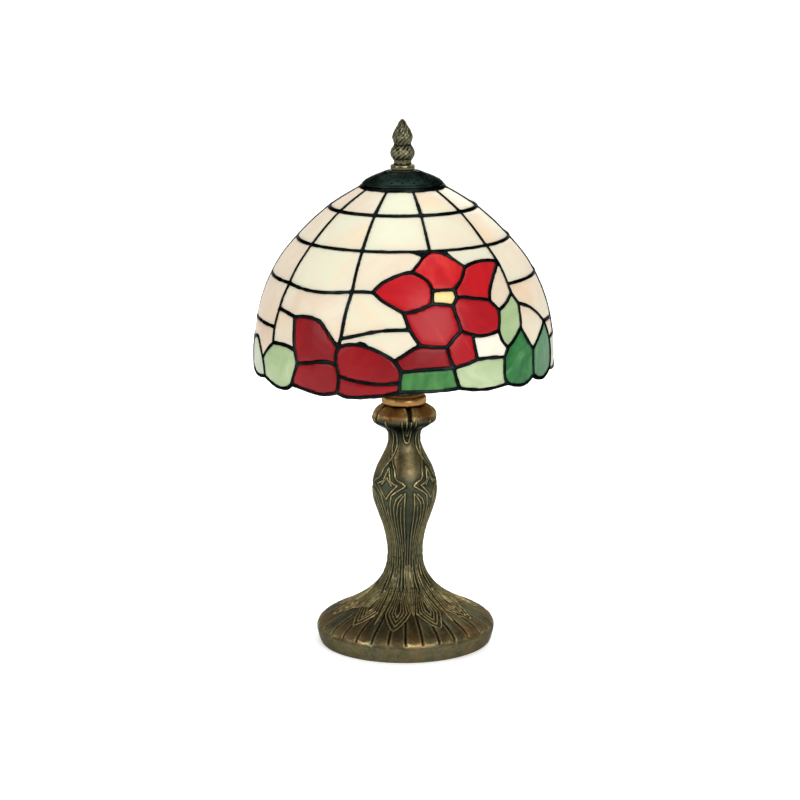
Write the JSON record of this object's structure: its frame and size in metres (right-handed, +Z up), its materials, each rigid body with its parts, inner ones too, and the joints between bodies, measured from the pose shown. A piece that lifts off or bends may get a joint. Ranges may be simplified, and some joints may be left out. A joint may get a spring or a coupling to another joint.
{
  "type": "stained glass table lamp",
  "caption": "Small table lamp with a domed leaded-glass shade of red flowers and green leaves, a vented cap and finial, and a cast bronze-finish pedestal base.",
  "frame": {"origin": "centre of the underside of the foot, on the surface the lamp stands on", "axes": "+Z up along the pipe, -Y is the front, towards the middle of the flower, +X to the right of the front"},
  "size_m": [0.2008, 0.2012, 0.355],
  "materials": {
    "bronze": "antique bronze finish with gilt highlights",
    "gilt_ring": "antique gold, worn",
    "felt": "dark green felt",
    "iron": "raw cast",
    "steel": "zinc plated",
    "brass": "satin brass",
    "black_plastic": "matt",
    "phenolic": "moulded",
    "opal_glass": "opal",
    "clear_glass": "clear",
    "filament": "warm",
    "patina_metal": "dark patina",
    "finial_brass": "antique green-brown brass",
    "solder": "black patina over solder",
    "cream_glass": "opalescent cream with peach mottling",
    "red_glass": "streaky red opalescent",
    "deep_red_glass": "streaky dark red opalescent",
    "yellow_glass": "pale yellow opalescent",
    "white_glass": "white opalescent",
    "dark_green_glass": "streaky dark green",
    "mid_green_glass": "streaky mid green",
    "light_green_glass": "light green opalescent",
    "pale_green_glass": "pale grey green opalescent"
  },
  "bodies": {
    "root": {"cast_base": "bronze", "felt_pad": "felt", "weight_disc": "iron", "lamp_pipe": "steel", "bottom_washer": "steel", "bottom_nut": "brass", "cord_bush": "black_plastic", "neck_ring": "gilt_ring", "harp": "brass", "harp_nut": "brass", "harp_stud": "brass", "socket_cap": "brass", "socket_shell": "brass", "socket_screw_shell": "brass", "socket_insulator": "phenolic", "socket_contact": "brass", "terminal_screws": "brass"},
    "bulb_tip": {"bulb_contact": "steel"},
    "bulb": {"bulb_screw_cap": "steel", "bulb_glass": "opal_glass", "bulb_stem": "clear_glass", "bulb_filament": "filament"},
    "carrier": {"shade_wheel": "brass", "cap_spacer": "brass", "heat_cap": "patina_metal"},
    "finial_washer": {"finial_washer": "brass"},
    "finial": {"finial": "finial_brass"},
    "shade": {"crown_ring": "patina_metal", "ring_seams": "solder", "rib_seams": "solder", "flower_seams": "solder", "rim_wire": "solder", "tiles_row_1": "cream_glass", "tiles_row_2": "cream_glass", "tiles_row_3": "cream_glass", "field_beside_top_petal": "cream_glass", "field_upper": "cream_glass", "field_middle": "cream_glass", "field_lower": "cream_glass", "upper_left_petal": "red_glass", "top_petal": "red_glass", "right_petal": "red_glass", "lower_right_petal": "red_glass", "lower_petal": "red_glass", "flower_heart": "yellow_glass", "small_red_petal": "red_glass", "white_diamond": "white_glass", "half_red_petal": "deep_red_glass", "low_dark_leaf": "dark_green_glass", "low_light_leaf": "light_green_glass", "tall_light_leaf": "light_green_glass", "dark_leaf": "dark_green_glass", "green_leaf": "mid_green_glass", "pale_leaf_right": "pale_green_glass", "pale_leaf_left": "pale_green_glass", "light_leaf": "light_green_glass", "side_petal_upper": "deep_red_glass", "side_petal_lower": "deep_red_glass", "side_petal_right": "deep_red_glass", "side_petal_strip": "deep_red_glass"}
  },
  "joints": [
    {"name": "shade_lift", "type": "slide", "parent": "root", "child": "carrier", "axis": [0, 0, 1], "range_m": [0, 0.15]},
    {"name": "shade_turn", "type": "hinge", "parent": "carrier", "child": "shade", "pos_m": [0, 0, 0.3], "axis": [0, 0, 1], "continuous": true},
    {"name": "finial_rise", "type": "slide", "parent": "carrier", "child": "finial_washer", "axis": [0, 0, 1], "range_m": [0, 0.012]},
    {"name": "finial_screw", "type": "hinge", "parent": "finial_washer", "child": "finial", "pos_m": [0, 0, 0.33], "axis": [0, 0, 1], "range_deg": [0, 4320]},
    {"name": "bulb_rise", "type": "slide", "parent": "root", "child": "bulb_tip", "axis": [0, 0, 1], "range_m": [0, 0.0084]},
    {"name": "bulb_screw", "type": "hinge", "parent": "bulb_tip", "child": "bulb", "pos_m": [0, 0, 0.21], "axis": [0, 0, 1], "range_deg": [0, 1080]}
  ],
  "couplings": [
    {"joint": "finial_screw", "follows": "finial_rise", "rad_per_m": 6283.2},
    {"joint": "bulb_screw", "follows": "bulb_rise", "rad_per_m": 2244}
  ]
}
